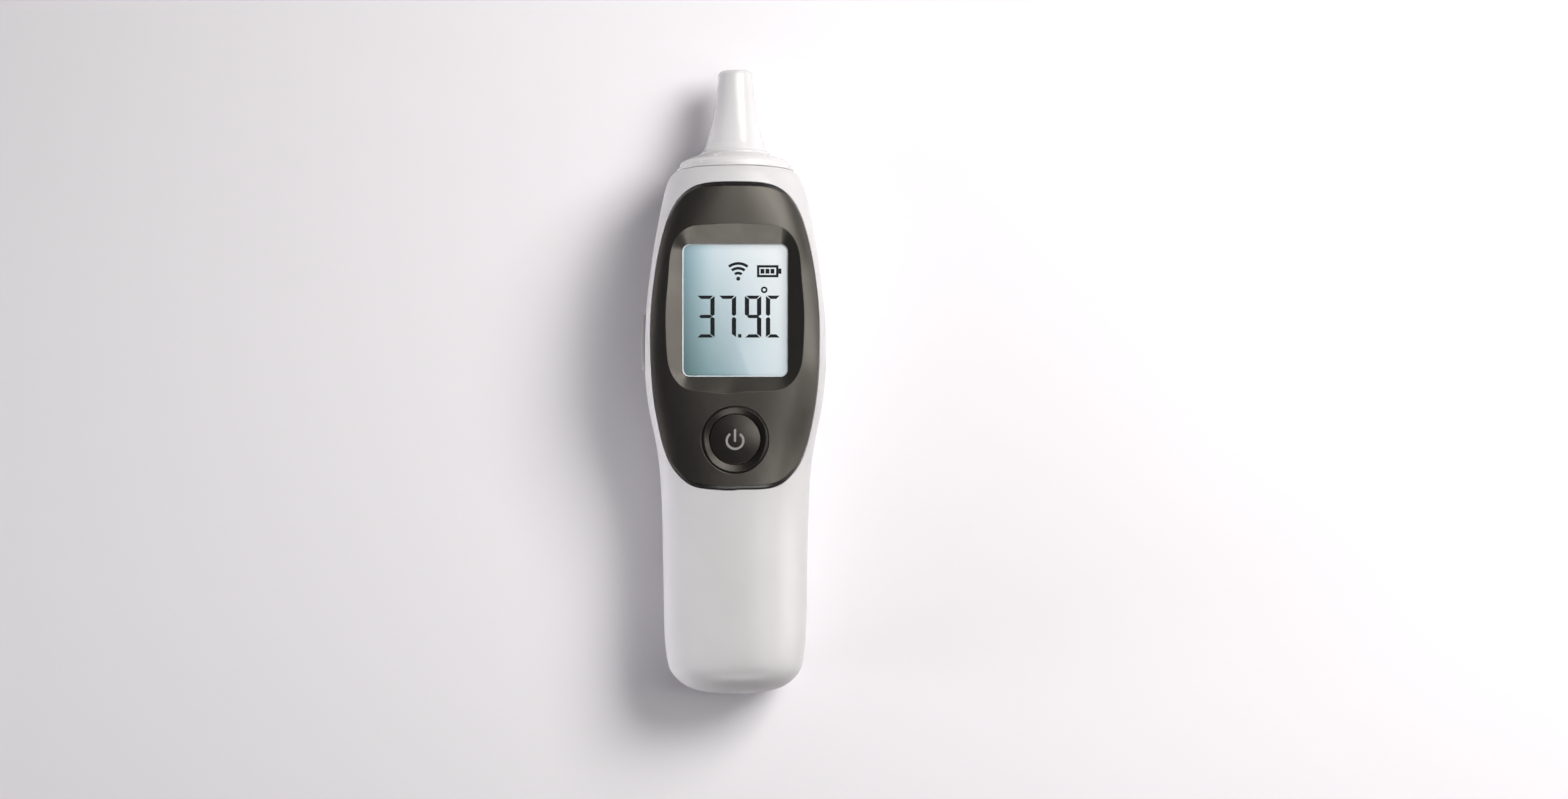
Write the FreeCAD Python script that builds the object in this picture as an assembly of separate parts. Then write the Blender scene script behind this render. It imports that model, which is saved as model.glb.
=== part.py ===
import FreeCAD, Part
import math
import os
from FreeCAD import Vector as V

# ----------------------------------------------------------------------
# Digital ear thermometer, lying on its back.
# +X right, +Y from the handle end towards the probe, +Z out of the display.
# The origin is on the flat resting strip of the back, at mid length.
# All sizes are millimetres.
# ----------------------------------------------------------------------

# ---- driving dimensions ----------------------------------------------
Y_HALF = 75.0            # handle end is at Y = -Y_HALF
TILT = 6.0              # the probe leans back by this many degrees
WALL = 2.0               # housing wall
PROUD = 0.40             # front panel stands above the housing by this
PANEL_DEPTH = 0.80       # seat of the front panel below the housing skin
GASKET_W = 0.32          # width of the gasket round the front panel
BEZEL_W = 0.78           # width of the sloping bezel round the front panel
SPLIT_Z = 13.0           # height of the parting plane
DOOR_END = 56.0          # upper end of the battery door, from handle end
DOOR_GAP = 0.30          # gap round the battery door
WIN_HX = 12.6            # half width of the display window
WIN_S0, WIN_S1 = 76.1, 107.8   # ends of the display window
WIN_R = 1.8              # corner radius of the display window
WIN_Z = 27.9             # foot of the bevelled recess
LENS_TOP = 27.5
LENS_T = 1.2
LCD_TOP, LCD_BOT = 26.2, 24.4
PCB_TOP, PCB_T = 22.6, 1.6
BTN_S = 61.1             # power button centre
RING_R = 8.05            # outer radius of the button ring
RING_BORE = 6.18
CAP_R = 6.03             # power button cap
BTN_TRAVEL = 0.6
SCAN_S0, SCAN_S1 = 77.4, 91.3  # side scan button ends
SCAN_Z, SCAN_H = 17.3, 5.6     # its centre height and height
SCAN_OUT = 0.65          # how far it stands out of the side
HEAD_S, HEAD_Z = 125.6, 14.8   # where the probe axis leaves the body
COLLAR_R = 13.35          # plain band of the collar
CELL_R, CELL_L, CELL_X, CELL_Z = 5.2, 44.5, 5.5, 7.6
CELL_S0 = 7.6            # handle-side end of the cells

# half width of the body against distance from the handle end
HALF_W = [(0.10, 3.0), (0.55, 6.8), (1.4, 10.4), (2.6, 12.75), (3.9, 14.25),
          (5.6, 15.5), (8.0, 16.25), (11.3, 16.75), (15.4, 17.02), (20.0, 17.14),
          (26.0, 17.24), (32.0, 17.32), (38.0, 17.42), (43.5, 17.58), (48.0, 17.75),
          (52.0, 18.0), (56.0, 18.38), (60.0, 18.98), (64.0, 19.82), (68.0, 20.65),
          (73.0, 21.33), (79.0, 21.73), (85.5, 21.75), (92.0, 21.38), (97.5, 20.8),
          (103.0, 20.1), (108.0, 19.35), (112.5, 18.5), (116.0, 17.85),
          (118.8, 17.25), (121.0, 16.72), (122.7, 16.15), (124.2, 15.25), (125.1, 14.1)]
FRONT_H = [(0, 12.4), (15, 12.5), (30, 12.7), (45, 13.2), (52, 13.8), (61, 14.8),
           (70, 16.0), (80, 17.3), (90, 18.0), (100, 17.9), (110, 17.2), (117, 16.4),
           (120.5, 15.9), (122.7, 15.35), (124.2, 14.8), (125.1, 14.1)]
BACK_H = [(0, 13.5), (95, 13.6), (105, 14.0), (117, 14.4), (121, 14.4),
          (123, 14.35), (124.2, 14.25), (125.1, 14.1)]
CENTRE_Z = [(0, 13.0), (88, 13.0), (96, 13.25), (106, 13.9), (116, 14.5), (125.1, 14.88)]
N_FRONT = [(0, 2.5), (40, 2.5), (50, 2.7), (60, 3.0), (70, 3.5), (80, 4.0),
           (100, 4.0), (110, 3.4), (117, 2.8), (122, 2.3), (125.1, 2.0)]
N_BACK = [(0, 2.5), (100, 2.5), (115, 2.3), (125.1, 2.0)]

# front panel outline, half width against distance from the handle end
PANEL = [(0.0, 49.3), (5.35, 49.44), (9.1, 49.92), (11.33, 50.88), (12.9, 52.2),
         (14.33, 53.76), (15.82, 56.16), (16.8, 58.56), (18.05, 63.36),
         (18.98, 68.16), (19.62, 72.96), (19.97, 77.76), (20.14, 82.56),
         (20.18, 87.36), (20.02, 92.16), (19.58, 96.96), (18.94, 101.76),
         (18.05, 106.56), (16.82, 111.36), (15.95, 114.0), (14.95, 116.16),
         (13.42, 118.56), (12.0, 120.0), (10.6, 120.98), (8.04, 121.92),
         (4.5, 122.33), (0.0, 122.43)]
# bevelled recess of the display, outer outline
RECESS_TOP = [(0.0, 112.7), (6.96, 112.4), (11.3, 111.65)]
RECESS_SIDE = [(14.55, 108.2), (15.84, 100.6), (16.4, 94.5), (16.56, 89.3), (16.3, 82.5), (15.45, 77.6)]
RECESS_BOT = [(12.2, 73.55), (7.0, 72.55), (0.0, 72.2)]


def Y(s):
    return s - Y_HALF


def pchip(tab, x):
    n = len(tab)
    if x <= tab[0][0]:
        return tab[0][1]
    if x >= tab[-1][0]:
        return tab[-1][1]
    h = [tab[i + 1][0] - tab[i][0] for i in range(n - 1)]
    d = [(tab[i + 1][1] - tab[i][1]) / h[i] for i in range(n - 1)]
    m = [0.0] * n
    m[0], m[-1] = d[0], d[-1]
    for i in range(1, n - 1):
        if d[i - 1] * d[i] > 0:
            w1, w2 = 2 * h[i] + h[i - 1], h[i] + 2 * h[i - 1]
            m[i] = (w1 + w2) / (w1 / d[i - 1] + w2 / d[i])
    i = 0
    while x > tab[i + 1][0]:
        i += 1
    t = (x - tab[i][0]) / h[i]
    return ((2 * t ** 3 - 3 * t ** 2 + 1) * tab[i][1] + (t ** 3 - 2 * t ** 2 + t) * h[i] * m[i]
            + (-2 * t ** 3 + 3 * t ** 2) * tab[i + 1][1] + (t ** 3 - t ** 2) * h[i] * m[i + 1])


def smooth(t):
    t = max(0.0, min(1.0, t))
    return t * t * (3 - 2 * t)


def tilt_at(s):
    return math.radians(TILT) * smooth((s - 88.0) / 31.0)


# ---- body form ---------------------------------------------------------
NU = 56


def solve(a, rhs):
    """Gaussian elimination, a is n x n, rhs n rows of equal length."""
    n = len(a)
    a = [row[:] for row in a]
    rhs = [row[:] for row in rhs]
    for c in range(n):
        p = max(range(c, n), key=lambda r: abs(a[r][c]))
        a[c], a[p] = a[p], a[c]
        rhs[c], rhs[p] = rhs[p], rhs[c]
        for r in range(c + 1, n):
            f = a[r][c] / a[c][c]
            if f:
                for k in range(c, n):
                    a[r][k] -= f * a[c][k]
                for k in range(len(rhs[0])):
                    rhs[r][k] -= f * rhs[c][k]
    for c in range(n - 1, -1, -1):
        for k in range(len(rhs[0])):
            acc = rhs[c][k]
            for j in range(c + 1, n):
                acc -= a[c][j] * rhs[j][k]
            rhs[c][k] = acc / a[c][c]
    return rhs


def basis(knots, deg, n, t):
    """Values of all n B-spline basis functions at t."""
    out = [0.0] * (len(knots) - 1)
    if t >= knots[-1]:
        res = [0.0] * n
        res[-1] = 1.0
        return res
    for i in range(len(knots) - 1):
        out[i] = 1.0 if knots[i] <= t < knots[i + 1] else 0.0
    for p in range(1, deg + 1):
        for i in range(len(knots) - 1 - p):
            v = 0.0
            d1 = knots[i + p] - knots[i]
            d2 = knots[i + p + 1] - knots[i + 1]
            if d1 > 0:
                v += (t - knots[i]) / d1 * out[i]
            if d2 > 0:
                v += (knots[i + p + 1] - t) / d2 * out[i + 1]
            out[i] = v
    return out[:n]


def stations(inset):
    """Section data of the body form, moved inwards by inset."""
    n = len(HALF_W)
    rows = []
    for i, (s, a) in enumerate(HALF_W):
        p, q = HALF_W[max(0, i - 1)], HALF_W[min(n - 1, i + 1)]
        ts, ta = q[0] - p[0], q[1] - p[1]
        ln = math.hypot(ts, ta)
        ns, na = -ta / ln, ts / ln          # outward normal in the (s, a) plane
        if i == 0:
            ns, na = -1.0, 0.0
        if i == n - 1:
            ns, na = 0.88, 0.47
        g = a / 16.9 if s < 12 else 1.0
        g = min(1.0, g)
        if s < 12:
            g = g * (1 - smooth(s / 12)) + smooth(s / 12)
        f = pchip(FRONT_H, s) * g
        b = pchip(BACK_H, s) * g
        rows.append((s - inset * ns, a - inset * na, f - inset * na, b - inset * na,
                     pchip(N_FRONT, s), pchip(N_BACK, s), pchip(CENTRE_Z, s), tilt_at(s)))
    return rows


def section_points(row):
    s, a, f, b, nf, nb, zc, tau = row
    pts = []
    for j in range(NU):
        ph = -math.pi / 2 + 2 * math.pi * j / NU
        c, sn = math.cos(ph), math.sin(ph)
        h, n = (f, nf) if sn >= 0 else (b, nb)
        r = ((abs(c) / a) ** n + (abs(sn) / h) ** n) ** (-1.0 / n)
        x, z = r * c, r * sn
        pts.append((x, Y(s) + z * math.sin(tau), zc + z * math.cos(tau)))
    return pts


def make_form(inset):
    rows = stations(inset)
    grid = [section_points(r) for r in rows]
    # periodic direction: poles whose curve passes through the points
    ringed = []
    for pts in grid:
        poles = [list(p) for p in pts]
        for _ in range(40):
            poles = [[(6 * pts[j][k] - poles[(j - 1) % NU][k] - poles[(j + 1) % NU][k]) / 4.0
                      for k in range(3)] for j in range(NU)]
        ringed.append(poles)
    n = len(ringed)
    par = [0.0]
    for i in range(1, n):
        d = 0.0
        for j in (0, NU // 8, NU // 4, 3 * NU // 8, NU // 2):
            p, q = grid[i - 1][j], grid[i][j]
            d += math.dist(p, q)
        par.append(par[-1] + d)
    par = [p / par[-1] for p in par]
    deg = 3
    knots = [0.0] * (deg + 1)
    for j in range(1, n - deg):
        knots.append(sum(par[j:j + deg]) / deg)
    knots += [1.0] * (deg + 1)
    mat = [basis(knots, deg, n, t) for t in par]
    rhs = [[c for p in ringed[i] for c in p] for i in range(n)]
    sol = solve(mat, rhs)
    poles = []
    for j in range(NU):
        jj = (j - 1) % NU
        poles.append([V(sol[i][3 * jj], sol[i][3 * jj + 1], sol[i][3 * jj + 2]) for i in range(n)])
    vk = sorted(set(knots))
    vm = [knots.count(k) for k in vk]
    surf = Part.BSplineSurface()
    surf.buildFromPolesMultsKnots(poles, [1] * (NU + 1), vm, [float(i) for i in range(NU + 1)], vk,
                                  True, False, 3, 3)
    side = surf.toShape()
    faces = [side]
    for v in (0.0, 1.0):
        faces.append(Part.Face(Part.Wire([surf.vIso(v).toShape()])))
    sh = Part.Shell(faces)
    if not sh.isClosed() or not sh.isValid():
        comp = Part.Compound(faces)
        comp.sewShape()
        sh = comp.Shells[0] if comp.Shells else Part.Shell(comp.Faces)
    sol3 = Part.Solid(sh)
    if sol3.Volume < 0:
        sol3.reverse()
    return sol3, surf, par


def on_surface(surf, par, x, s):
    """Point and outward normal of the front side of a form above (x, s)."""
    row_s = [r[0] for r in HALF_W]
    v = 0.0
    for i in range(len(row_s) - 1):
        if row_s[i] <= s <= row_s[i + 1]:
            v = par[i] + (par[i + 1] - par[i]) * (s - row_s[i]) / (row_s[i + 1] - row_s[i])
    a = pchip(HALF_W, s)
    c = max(-0.97, min(0.97, x / (a + 0.5)))
    hgt = 16.0 * (1 - abs(c) ** 3.5) ** (1 / 3.5)
    ph = math.atan2(hgt, x)
    u = (ph + math.pi / 2) / (2 * math.pi) * NU
    e = 1e-4
    for _ in range(40):
        p = surf.value(u, v)
        fx, fy = p.x - x, p.y - Y(s)
        if abs(fx) + abs(fy) < 1e-8:
            break
        pu = surf.value(u + e, v)
        vv = v + e if v + e < 1 else v - e
        pv = surf.value(u, vv)
        sg = 1.0 if vv > v else -1.0
        a11, a21 = (pu.x - p.x) / e, (pu.y - p.y) / e
        a12, a22 = (pv.x - p.x) / e * sg, (pv.y - p.y) / e * sg
        det = a11 * a22 - a12 * a21
        du = (fx * a22 - fy * a12) / det
        dv = (fy * a11 - fx * a21) / det
        du = max(-1.0, min(1.0, du))
        dv = max(-0.03, min(0.03, dv))
        u -= du
        v = max(0.0, min(1.0, v - dv))
    p = surf.value(u, v)
    pu, pv = surf.value(u + e, v) - p, surf.value(u, max(0, v - e)) - p
    nrm = pu.cross(pv)
    nrm.normalize()
    if nrm.z < 0:
        nrm = nrm * -1.0
    return p, nrm


# ---- small helpers -----------------------------------------------------
def box(x0, x1, s0, s1, z0, z1):
    return Part.makeBox(x1 - x0, s1 - s0, z1 - z0, V(x0, Y(s0), z0))


def cyl(r, h, p, d=V(0, 0, 1)):
    return Part.makeCylinder(r, h, p, d)


def rounded(pts):
    """Closed outline in the XY plane; each vertex is (x, y, corner radius)."""
    n = len(pts)
    edges = []
    ends = []
    for i in range(n):
        p0, p1, p2 = pts[i - 1], pts[i], pts[(i + 1) % n]
        a, b, c = V(p0[0], p0[1], 0), V(p1[0], p1[1], 0), V(p2[0], p2[1], 0)
        r = p1[2] if len(p1) > 2 else 0.0
        if r <= 0:
            ends.append((b, b, None))
            continue
        d1, d2 = (a - b).normalize(), (c - b).normalize()
        half = math.acos(max(-1, min(1, d1.dot(d2)))) / 2
        t = r / math.tan(half)
        q1, q2 = b + d1 * t, b + d2 * t
        bis = (d1 + d2).normalize()
        ctr = b + bis * (r / math.sin(half))
        mid = ctr - bis * r
        ends.append((q1, q2, mid))
    for i in range(n):
        q1, q2, mid = ends[i]
        if mid is not None:
            edges.append(Part.Arc(q1, mid, q2).toShape())
        nq = ends[(i + 1) % n][0]
        if q2.distanceToPoint(nq) > 1e-7:
            edges.append(Part.makeLine(q2, nq))
    return Part.Wire(edges)


def plate(pts, z0, z1):
    f = Part.Face(rounded(pts))
    f.translate(V(0, 0, z0))
    return f.extrude(V(0, 0, z1 - z0))


def rrect(hx, s0, s1, r):
    return [(-hx, Y(s0), r), (hx, Y(s0), r), (hx, Y(s1), r), (-hx, Y(s1), r)]


def turned(pts):
    """Solid of revolution about local Z; pts are (radius, height, corner radius)."""
    w = rounded(pts)
    f = Part.Face(w)
    f.rotate(V(0, 0, 0), V(1, 0, 0), 90)
    return f.revolve(V(0, 0, 0), V(0, 0, 1), 360)


HEAD_PL = FreeCAD.Placement(V(0, Y(HEAD_S), HEAD_Z), FreeCAD.Rotation(V(1, 0, 0), -(90.0 + TILT)))


def head(shape):
    shape = shape.copy()
    shape.Placement = HEAD_PL.multiply(shape.Placement)
    return shape


def ring_of(pts):
    c = Part.BSplineCurve()
    c.interpolate(Points=pts, PeriodicFlag=True)
    return Part.Wire([c.toShape()])


def resample(closed, m):
    c = Part.BSplineCurve()
    c.interpolate(Points=closed, PeriodicFlag=True)
    e = c.toShape()
    return [e.valueAt(e.getParameterByLength(e.Length * i / m)) for i in range(m)]


def one(shape):
    """Largest solid of a shape, as a clean solid."""
    sol = sorted(shape.Solids, key=lambda q: -q.Volume)
    return sol[0]


# ---- forms of the body -------------------------------------------------
skin, skin_surf, skin_par = make_form(0.0)
proud, proud_surf, proud_par = make_form(-PROUD)
seat, seat_surf, seat_par = make_form(PANEL_DEPTH)
inner, inner_surf, inner_par = make_form(WALL)
print("forms", skin.isValid(), skin.Volume, inner.isValid(), inner.Volume)

os.makedirs("parts", exist_ok=True)
NODES = {}


def put(name, shape):
    NODES[name] = shape
    shape.exportStep("parts/" + name + ".step")
    b = shape.BoundBox
    print("%-22s solids %2d valid %s vol %9.2f  x %.1f..%.1f y %.1f..%.1f z %.1f..%.1f" % (
        name, len(shape.Solids), shape.isValid(), shape.Volume,
        b.XMin, b.XMax, b.YMin, b.YMax, b.ZMin, b.ZMax))


gap_form, _, _ = make_form(0.28)
tray_form, _, _ = make_form(WALL + 0.40)
board_form, _, _ = make_form(WALL + 1.20)
TABLE = Part.makeBox(80, 200, 30, V(-40, -100, -30))

# ---- front panel frame: point, normal and outward direction per outline point
M_RIM = 84
half = [(x, s) for x, s in PANEL]
loop = [V(x, s, 0) for x, s in half] + [V(-x, s, 0) for x, s in reversed(half[1:-1])]
rim2d = resample(loop, M_RIM)
RIM = []
for p in rim2d:
    RIM.append(on_surface(skin_surf, skin_par, p.x, p.y))
FRAMES = []
for i in range(M_RIM):
    p, nrm = RIM[i]
    t = RIM[(i + 1) % M_RIM][0] - RIM[i - 1][0]
    t.normalize()
    b = t.cross(nrm)
    b.normalize()
    if b.dot(V(p.x, p.y - Y(86), 0)) < 0:
        b = b * -1.0
    FRAMES.append((p, nrm, b))


def rim_solid(section):
    """Solid inside a wall that follows the panel outline square to the skin."""
    wires = []
    for k, (db, dn) in enumerate(section):
        pts = [p + b * db + nrm * dn for p, nrm, b in FRAMES]
        if k == 0:
            wires.append(ring_of([V(q.x, q.y, 5.0) for q in pts]))
        wires.append(ring_of(pts))
        if k == len(section) - 1:
            wires.append(ring_of([V(q.x, q.y, 60.0) for q in pts]))
    return Part.makeLoft(wires, True, True)


def rim_ring(corners):
    """Closed band round the panel; corners are (outward, up) offsets from the skin outline."""
    gw = [ring_of([p + b * db + nrm * dn for p, nrm, b in FRAMES]) for db, dn in corners]
    fs = []
    for i in range(len(gw)):
        fs += Part.makeLoft([gw[i], gw[(i + 1) % len(gw)]], False, True).Faces
    gc = Part.Compound(fs)
    gc.sewShape()
    sol = Part.Solid(gc.Shells[0] if gc.Shells else Part.Shell(gc.Faces))
    if sol.Volume < 0:
        sol.reverse()
    return sol


inside = rim_solid([(-BEZEL_W - 0.05, -2.0), (-BEZEL_W - 0.05, 1.5)])
wide = rim_solid([(GASKET_W, -2.0), (GASKET_W, 1.5)])
plate_blank = one(proud.common(inside).cut(seat))

# ---- bevelled recess of the display ------------------------------------
def mirrored(seq):
    return [(-x, s) for x, s in reversed(seq)]


right = RECESS_BOT[::-1] + RECESS_SIDE[::-1] + RECESS_TOP[::-1]
# right runs bottom centre -> side -> top centre
loop = [V(x, s, 0) for x, s in right] + [V(-x, s, 0) for x, s in reversed(right[1:-1])]
rc = Part.BSplineCurve()
rc.interpolate(Points=loop, PeriodicFlag=True)
SPLITS = [(11.3, 111.65), (14.95, 106.9), (15.35, 77.3), (12.2, 73.55),
          (-12.2, 73.55), (-15.35, 77.3), (-14.95, 106.9), (-11.3, 111.65)]
u0, u1 = rc.FirstParameter, rc.LastParameter
par_split = [rc.parameter(V(x, s, 0)) for x, s in SPLITS]


def seg_params(a, b, m):
    # the outline runs anticlockwise in (x, s): bottom centre, right, top, left
    if b <= a:
        b += u1 - u0
    out = []
    for i in range(m):
        u = a + (b - a) * i / (m - 1)
        while u > u1:
            u -= u1 - u0
        out.append(u)
    return out


def recess_loft(d_in, d_out, z_in, ext, below=None):
    hx, r = WIN_HX + d_in, WIN_R + d_in
    s0, s1 = WIN_S0 - d_in, WIN_S1 + d_in
    # segments in anticlockwise order, starting at the right side's lower end
    segs = []
    order = [(2, 1), (1, 0), (0, 7), (7, 6), (6, 5), (5, 4), (4, 3), (3, 2)]
    kinds = ["R", "TR", "T", "TL", "L", "BL", "B", "BR"]
    for (i, j), kd in zip(order, kinds):
        m = 15 if len(kd) == 1 else 7
        us = seg_params(par_split[i], par_split[j], m)
        outer, inn = [], []
        for q, u in enumerate(us):
            p = rc.value(u)
            t = V(*rc.tangent(u)[0])
            nrm2 = V(t.y, -t.x, 0)
            nrm2.normalize()
            if nrm2.dot(p - V(0, 92, 0)) < 0:
                nrm2 = nrm2 * -1.0
            p = p + nrm2 * d_out
            outer.append(on_surface(proud_surf, proud_par, p.x, p.y)[0])
            f = q / (m - 1.0)
            if kd == "R":
                w = (hx, s0 + r + (s1 - s0 - 2 * r) * f)
            elif kd == "L":
                w = (-hx, s1 - r - (s1 - s0 - 2 * r) * f)
            elif kd == "T":
                w = (hx - r - 2 * (hx - r) * f, s1)
            elif kd == "B":
                w = (-hx + r + 2 * (hx - r) * f, s0)
            else:
                cx = (hx - r) * (1 if "R" in kd else -1)
                cs = s1 - r if "T" in kd else s0 + r
                a0 = {"TR": 0, "TL": 90, "BL": 180, "BR": 270}[kd]
                a = math.radians(a0 + 90 * f)
                w = (cx + r * math.cos(a), cs + r * math.sin(a))
            inn.append(V(w[0], Y(w[1]), z_in))
        segs.append((kd, inn, outer))

    def wire(pick, z=None):
        edges = []
        for kd, inn, outer in segs:
            pts = [pick(a, b) for a, b in zip(inn, outer)]
            if z is not None:
                pts = [V(p.x, p.y, z) for p in pts]
            c = Part.BSplineCurve()
            c.interpolate(Points=pts)
            edges.append(c.toShape())
        return Part.Wire(edges)
    wires = []
    if below is not None:
        wires.append(wire(lambda a, b: a, below))
    wires.append(wire(lambda a, b: a))
    wires.append(wire(lambda a, b: a + (b - a) * ext))
    wires.append(wire(lambda a, b: a + (b - a) * ext, 60.0))
    return Part.makeLoft(wires, True, True)


funnel = recess_loft(0.0, 0.0, WIN_Z, 1.30, 18.0)
boss_blank = recess_loft(1.5, 1.2, LENS_TOP, 1.30)
boss_cut = recess_loft(1.7, 1.4, LENS_TOP - 0.2, 1.30, 20.0)
print("recess", funnel.isValid(), boss_blank.isValid(), boss_cut.isValid())

# ---- power button frame --------------------------------------------------
BP, BN = on_surface(proud_surf, proud_par, 0.0, BTN_S)
BTN_ANG = math.degrees(math.atan2(-BN.y, BN.z))
BTN_PL = FreeCAD.Placement(BP, FreeCAD.Rotation(V(1, 0, 0), BTN_ANG))
print("button", BP, BN, BTN_ANG)


def btn(shape):
    shape = shape.copy()
    shape.Placement = BTN_PL.multiply(shape.Placement)
    return shape


panel = plate_blank.fuse(boss_blank.common(skin)).cut(funnel)
panel = panel.cut(btn(cyl(RING_R + 0.07, 8, V(0, 0, -4))))
panel = panel.cut(btn(Part.makeCone(RING_R + 0.07, RING_R + 0.57, 0.5, V(0, 0, -0.14))))
panel = one(panel)
put("front_panel", panel)

gasket = rim_ring([(0.05, -0.60), (GASKET_W - 0.08, -0.60), (GASKET_W - 0.08, -0.28), (0.05, -0.28)])
bezel = rim_ring([(-BEZEL_W, -0.62), (-0.01, -0.62), (-0.01, -0.10), (-0.16, 0.06), (-BEZEL_W, PROUD - 0.06)])
put("panel_bezel", bezel)
put("panel_gasket", gasket)

# ---- button ring, cap, icon ------------------------------------------------
ring = turned([(RING_BORE, -3.0, 0), (RING_R, -3.0, 0), (RING_R, -0.48, 0), (7.78, -0.48, 0), (7.78, -0.16, 0),
               (7.70, -0.08, 0), (RING_BORE, -0.70, 0)])
ring = one(btn(ring).common(proud).cut(seat))
put("button_ring", ring)

DOME_R, DOME_H = 34.0, -0.02


def dome(d):
    return Part.makeSphere(DOME_R, V(0, 0, DOME_H - DOME_R + d))


skirt = turned([(0, -1.5, 0), (5.1, -1.5, 0), (5.1, -3.65, 0), (7.1, -3.65, 0), (7.1, -3.05, 0),
                (CAP_R, -3.05, 0), (CAP_R, -0.62, 0.22), (CAP_R - 0.02, 0.5, 0), (0, 0.5, 0)])
cap = skirt.common(dome(0.0).fuse(cyl(8, 4.2, V(0, 0, -5)))).fuse(cyl(1.6, 2.2, V(0, 0, -3.5)))
icon_ring = cyl(2.25, 3, V(0, -0.26, -2)).cut(cyl(1.71, 3, V(0, -0.26, -2)))
wedge = Part.makePolygon([V(0, -0.26, -2), V(-3.5 * math.tan(math.radians(36)), 3.24, -2),
                          V(3.5 * math.tan(math.radians(36)), 3.24, -2), V(0, -0.26, -2)])
wedge = Part.Face(wedge).extrude(V(0, 0, 3))
icon_ring = icon_ring.cut(wedge)
bar = Part.Face(rounded([(-0.27, -0.58, 0.26), (0.27, -0.58, 0.26), (0.27, 2.57, 0.26), (-0.27, 2.57, 0.26)]))
bar.translate(V(0, 0, -2))
bar = bar.extrude(V(0, 0, 3))
icon_blank = Part.Compound([icon_ring, bar])
inner_dome = dome(-0.25)
icon = Part.Compound([q.common(dome(0.03)).cut(inner_dome) for q in (icon_ring, bar)])
for q in (icon_ring, bar):
    cap = cap.cut(q.cut(inner_dome))
put("power_button", one(btn(cap)))
put("power_icon", btn(icon))
put("power_switch_plunger", btn(cyl(1.2, 1.4, V(0, 0, -4.9))))
sw_c = BTN_PL.multVec(V(0, 0, -5.0))
sw_s = sw_c.y + Y_HALF
switch = box(-3.1, 3.1, sw_s - 3.1, sw_s + 3.1, PCB_TOP, PCB_TOP + 1.3)
switch = switch.cut(btn(cyl(1.45, 5, V(0, 0, -7.5))))
put("power_switch_body", switch)

# ---- side scan button --------------------------------------------------------
def pill_x(grow, x0, x1):
    hz = SCAN_H / 2 + grow
    y0, y1 = Y(SCAN_S0) - grow, Y(SCAN_S1) + grow
    w = rounded([(y0, -hz, hz * 0.98), (y1, -hz, hz * 0.98), (y1, hz, hz * 0.98), (y0, hz, hz * 0.98)])
    f = Part.Face(w)
    # local (x, y) -> world (y, z)
    f.Placement = FreeCAD.Placement(V(x0, 0, SCAN_Z), FreeCAD.Rotation(V(0, 1, 0), V(0, 0, 1), V(1, 0, 0), "XYZ"))
    return f.extrude(V(x1 - x0, 0, 0))


out_form, _, _ = make_form(-SCAN_OUT)
mid_form, _, _ = make_form(-SCAN_OUT + 0.3)
flange_a, _, _ = make_form(WALL + 0.15)
flange_b, _, _ = make_form(WALL + 0.85)
key = pill_x(0, -26, -17).common(mid_form).fuse(pill_x(-0.3, -26, -17).common(out_form)).cut(flange_b)
key = key.fuse(pill_x(0.7, -26, -17).common(flange_a).cut(flange_b))
key = key.fuse(box(-19.6, -18.2, 82.6, 86.1, SCAN_Z - 1.5, SCAN_Z + 1.5))
put("scan_button", one(key))
put("scan_switch_plunger", cyl(1.0, 2.2, V(-18.2, Y(84.35), SCAN_Z), V(1, 0, 0)))
ssw = box(-17.2, -13.8, 81.4, 87.3, 14.9, PCB_TOP - PCB_T)
put("scan_switch_body", ssw.cut(cyl(1.25, 4.4, V(-19, Y(84.35), SCAN_Z), V(1, 0, 0))))

# ---- housings -----------------------------------------------------------------
CASE_SCREWS = [(-10.5, 62.5), (10.5, 62.5), (-9.0, 114.2), (9.0, 114.2)]
SCREW_Z = {62.5: 1.7, 114.2: 3.1}     # under side of each screw head
PCB_SCREWS = [(-13.0, 69.3), (13.0, 69.3), (0.0, 114.6)]
END_BORE = head(cyl(11.12, 8, V(0, 0, -5)))
end_dir = HEAD_PL.Rotation.multVec(V(0, 0, 1))
shell = skin.cut(inner)
upper = shell.common(Part.makeBox(80, 300, 60, V(-40, -150, SPLIT_Z + 0.05)))
upper = upper.cut(wide.cut(seat))
posts = []
for x, s in CASE_SCREWS:
    posts.append(cyl(2.8, 30, V(x, Y(s), SPLIT_Z + 0.05)).common(gap_form))
for x, s in PCB_SCREWS:
    posts.append(cyl(2.2, 30, V(x, Y(s), PCB_TOP)).common(gap_form))
seat_posts = [q.common(seat) for q in posts]
for q in seat_posts:
    upper = upper.fuse(q)
upper = upper.cut(boss_cut).cut(btn(cyl(6.45, 9, V(0, 0, -6)))).cut(pill_x(0.15, -26, -17)).cut(END_BORE)
for x, s in CASE_SCREWS:
    upper = upper.cut(cyl(1.1, 20, V(x, Y(s), 0)))
for x, s in PCB_SCREWS:
    upper = upper.cut(cyl(0.8, 5.0, V(x, Y(s), PCB_TOP - 1)))
front = one(upper)
put("front_housing", front)

lower = shell.common(Part.makeBox(80, 300, SPLIT_Z - 0.05 + 10, V(-40, Y(DOOR_END + DOOR_GAP), -10)))
bosses = [cyl(3.5, 20, V(x, Y(s), 0.2)).common(Part.makeBox(80, 300, SPLIT_Z, V(-40, -150, 0))).common(seat)
          for x, s in CASE_SCREWS]
for q in bosses:
    lower = lower.fuse(q)
for s in (72.0, 86.0, 100.0):
    rib = box(-17, 17, s, s + 1.2, 0, 4.2).common(seat)
    rib = rib.cut(box(-8, 8, s - 1, s + 3, 3.0, 9))
    lower = lower.fuse(rib)
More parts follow.
